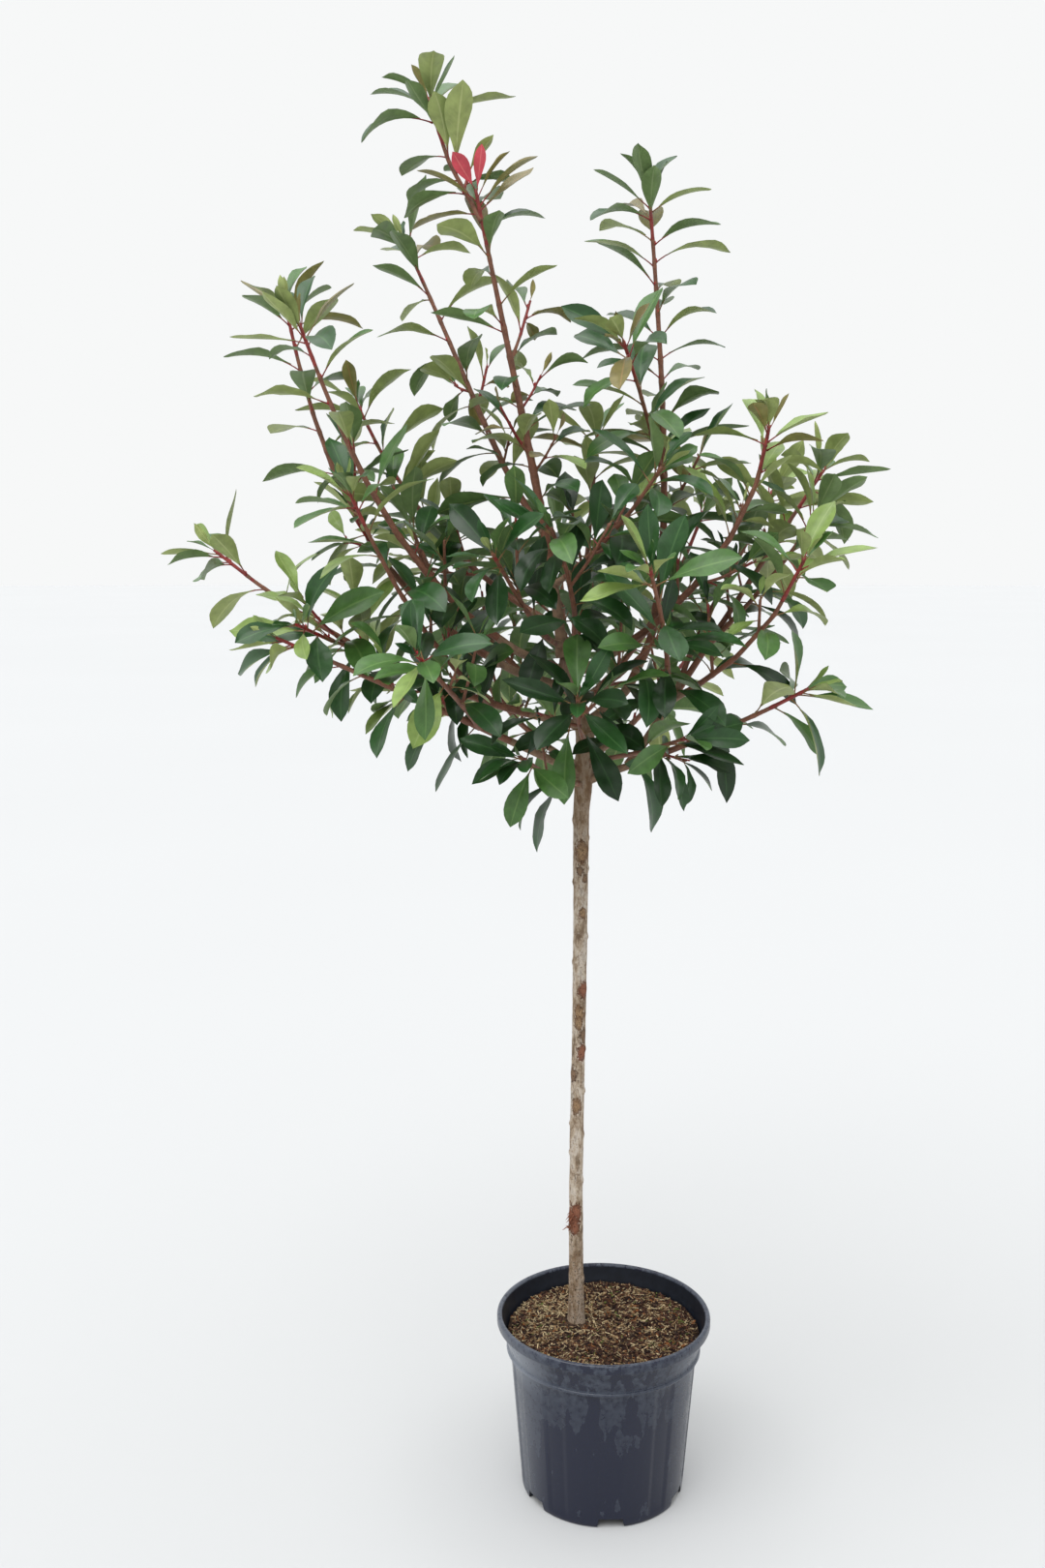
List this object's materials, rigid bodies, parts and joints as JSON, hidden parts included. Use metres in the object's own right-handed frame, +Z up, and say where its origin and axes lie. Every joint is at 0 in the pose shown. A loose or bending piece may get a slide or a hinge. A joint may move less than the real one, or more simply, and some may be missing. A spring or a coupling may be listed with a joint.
{
  "type": "potted red tip photinia",
  "caption": "Half-standard red tip photinia in a round dark plastic nursery pot: clear stem, open crown of upright red-stemmed shoots with glossy pointed leaves, bark compost up to the rim.",
  "frame": {"origin": "middle of the pot's flat underside, on the floor", "axes": "+Z up along the trunk, -Y towards the side the picture shows, +X to that viewer's right"},
  "size_m": [0.8443, 0.612, 1.7047],
  "materials": {
    "dark_plastic": "injection moulded black-blue polypropylene with a dull sheen, water stained",
    "bark_compost": "loose shredded bark and wood fibre, damp and rough",
    "grey_bark": "mottled grey-beige bark with brown scars",
    "brown_bark": "red-brown young bark with small pale pores",
    "leaf_green": "leathery evergreen leaves, glossy dark green above and yellow-green below, on crimson stalks"
  },
  "bodies": {
    "root": {"bough_back_core": "brown_bark", "bough_back_left": "brown_bark", "bough_back_low_left": "brown_bark", "bough_back_low_right": "brown_bark", "bough_back_middle": "brown_bark", "bough_back_right": "brown_bark", "bough_foot_left": "brown_bark", "bough_foot_right": "brown_bark", "bough_front_core": "brown_bark", "bough_front_high": "brown_bark", "bough_front_low": "brown_bark", "bough_front_mid": "brown_bark", "bough_front_right": "brown_bark", "bough_heart_right": "brown_bark", "bough_leader": "brown_bark", "bough_left_high": "brown_bark", "bough_left_inner": "brown_bark", "bough_left_low": "brown_bark", "bough_left_lowest": "brown_bark", "bough_left_tall": "brown_bark", "bough_left_tall_back": "brown_bark", "bough_right_behind": "brown_bark", "bough_right_big": "brown_bark", "bough_right_far": "brown_bark", "bough_right_low": "brown_bark", "bough_right_out": "brown_bark", "bough_right_tall": "brown_bark", "foliage_back_core": "leaf_green", "foliage_back_left": "leaf_green", "foliage_back_low_left": "leaf_green", "foliage_back_low_right": "leaf_green", "foliage_back_middle": "leaf_green", "foliage_back_right": "leaf_green", "foliage_foot_left": "leaf_green", "foliage_foot_right": "leaf_green", "foliage_front_core": "leaf_green", "foliage_front_high": "leaf_green", "foliage_front_low": "leaf_green", "foliage_front_mid": "leaf_green", "foliage_front_right": "leaf_green", "foliage_heart_right": "leaf_green", "foliage_leader": "leaf_green", "foliage_left_high": "leaf_green", "foliage_left_inner": "leaf_green", "foliage_left_low": "leaf_green", "foliage_left_lowest": "leaf_green", "foliage_left_tall": "leaf_green", "foliage_left_tall_back": "leaf_green", "foliage_right_behind": "leaf_green", "foliage_right_big": "leaf_green", "foliage_right_far": "leaf_green", "foliage_right_low": "leaf_green", "foliage_right_out": "leaf_green", "foliage_right_tall": "leaf_green", "pot": "dark_plastic", "soil": "bark_compost", "trunk": "grey_bark"}
  },
  "joints": []
}
